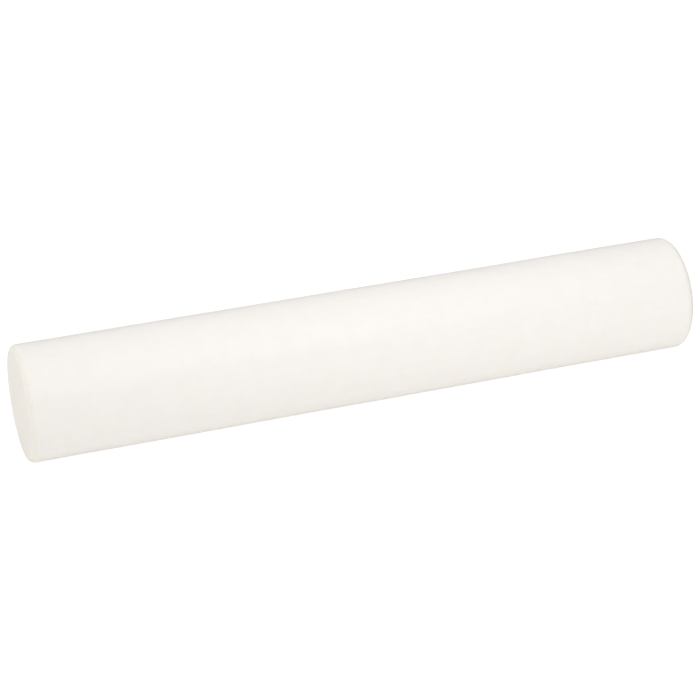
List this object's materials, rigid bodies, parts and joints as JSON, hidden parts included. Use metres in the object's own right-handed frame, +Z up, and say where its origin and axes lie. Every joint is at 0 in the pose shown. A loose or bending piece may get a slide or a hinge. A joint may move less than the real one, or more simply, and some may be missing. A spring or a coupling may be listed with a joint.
{
  "type": "foam roller",
  "caption": "Long solid round log of white closed-cell foam with flat cut ends and softly rounded rims, rolled under the body for massage and balance work.",
  "frame": {"origin": "centre of the log, on its long axis, midway between the two cut ends", "axes": "+X along the log's length, +Z up with the log lying on its side as it is used"},
  "size_m": [0.9144, 0.1524, 0.1524],
  "materials": {
    "polyethylene_foam": "warm white closed-cell polyethylene foam, satin extruded skin with fine cells showing faintly, and matt cut ends with open cells"
  },
  "bodies": {
    "root": {"foam_log": "polyethylene_foam"}
  },
  "joints": []
}
